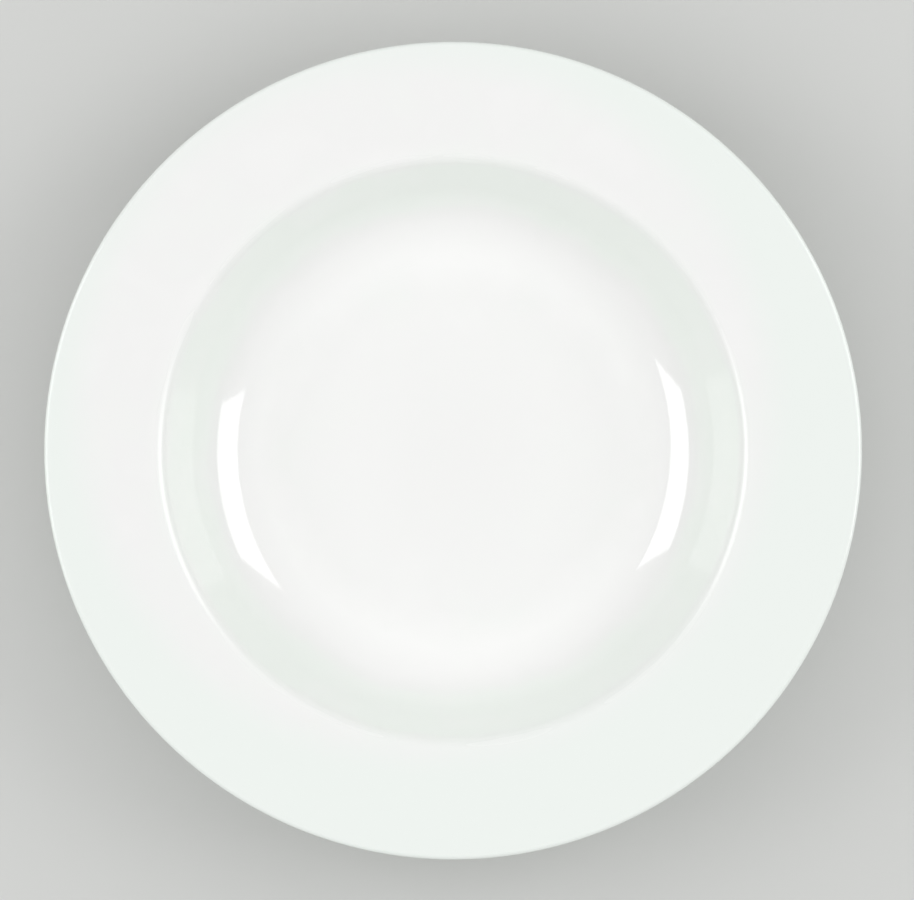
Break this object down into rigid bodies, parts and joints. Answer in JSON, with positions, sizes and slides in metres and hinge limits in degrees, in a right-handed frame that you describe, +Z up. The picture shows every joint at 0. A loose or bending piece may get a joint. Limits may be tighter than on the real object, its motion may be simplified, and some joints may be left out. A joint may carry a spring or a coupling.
{
  "type": "rimmed soup plate",
  "caption": "Round white porcelain soup plate with a deep flat-bottomed well, a wide gently rising rim, a rounded lip and a foot ring.",
  "frame": {"origin": "on the plate's axis, in the plane of the foot ring's standing face", "axes": "+Z up along the plate's axis, out of the well; the plate is a body of revolution, so X and Y are free"},
  "size_m": [0.23, 0.23, 0.0387],
  "materials": {
    "biscuit": "bare fired porcelain on the foot ring, matt, fine-grained and slightly warm",
    "glaze": "clear gloss glaze over white porcelain, plain white with a faint green cast where it pools"
  },
  "bodies": {
    "root": {"biscuit_body": "biscuit", "glaze_coat": "glaze", "base_glaze": "glaze"}
  },
  "joints": []
}
